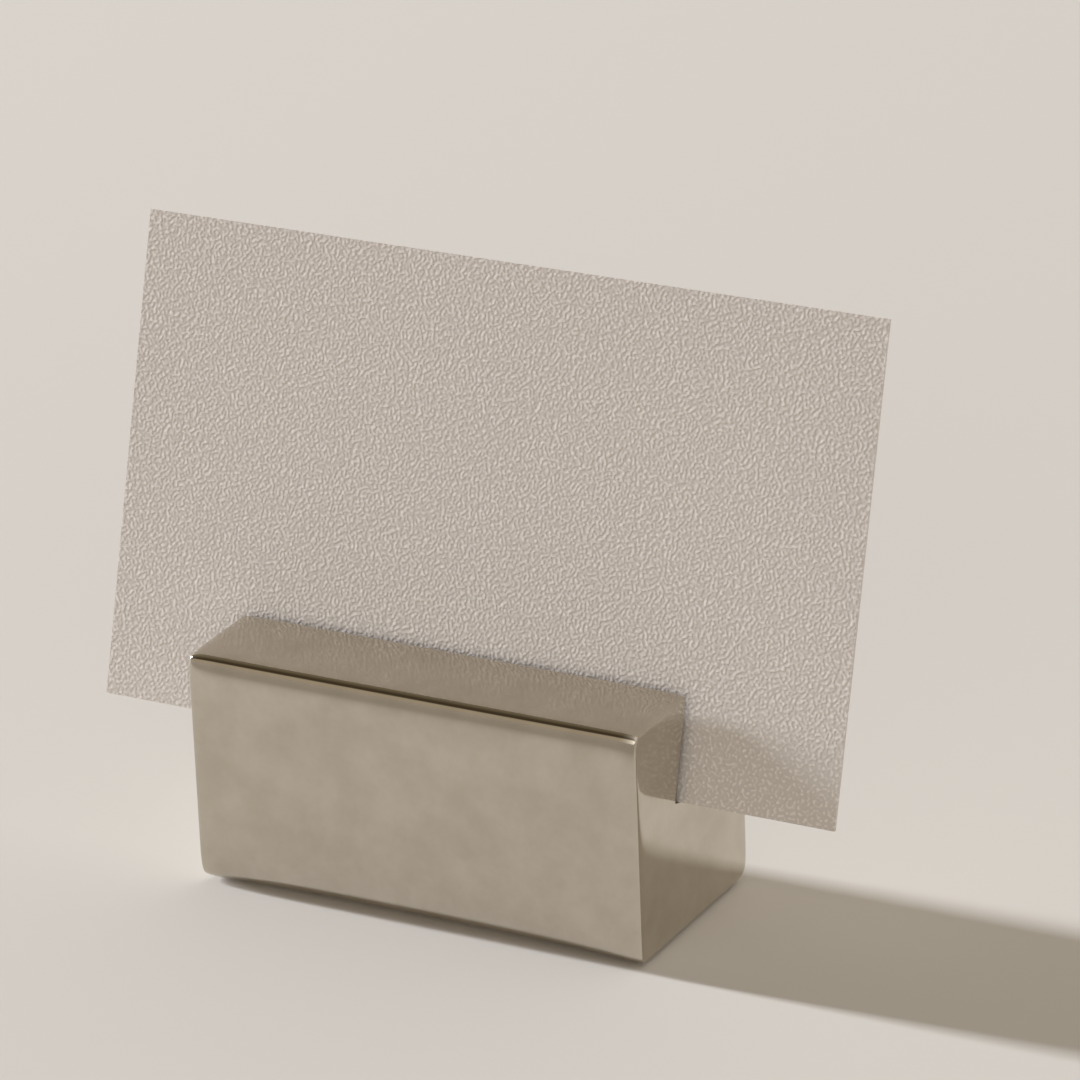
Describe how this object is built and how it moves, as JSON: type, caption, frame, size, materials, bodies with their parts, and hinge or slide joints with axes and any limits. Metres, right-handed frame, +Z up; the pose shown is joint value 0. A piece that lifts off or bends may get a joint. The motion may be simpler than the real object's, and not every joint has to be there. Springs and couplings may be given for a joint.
{
  "type": "place card holder",
  "caption": "Solid metal block with a leaning slot sawn across its top, holding a blank textured place card tilted back for reading.",
  "frame": {"origin": "middle of the block's underside, on the table", "axes": "+X along the slot and the card, to the right as the card is read; +Y to the back, the way the card leans; +Z up"},
  "size_m": [0.091, 0.026, 0.069],
  "materials": {
    "polished_nickel": "mirror polished, warm nickel tone",
    "embossed_card": "leather grain embossed, soft sheen"
  },
  "bodies": {
    "holder": {"holder_block": "polished_nickel"},
    "card": {"place_card": "embossed_card"}
  },
  "joints": [
    {"name": "card_lift", "type": "slide", "parent": "holder", "child": "card", "axis": [0, 0.284, 0.9588], "range_m": [0, 0.016]}
  ]
}
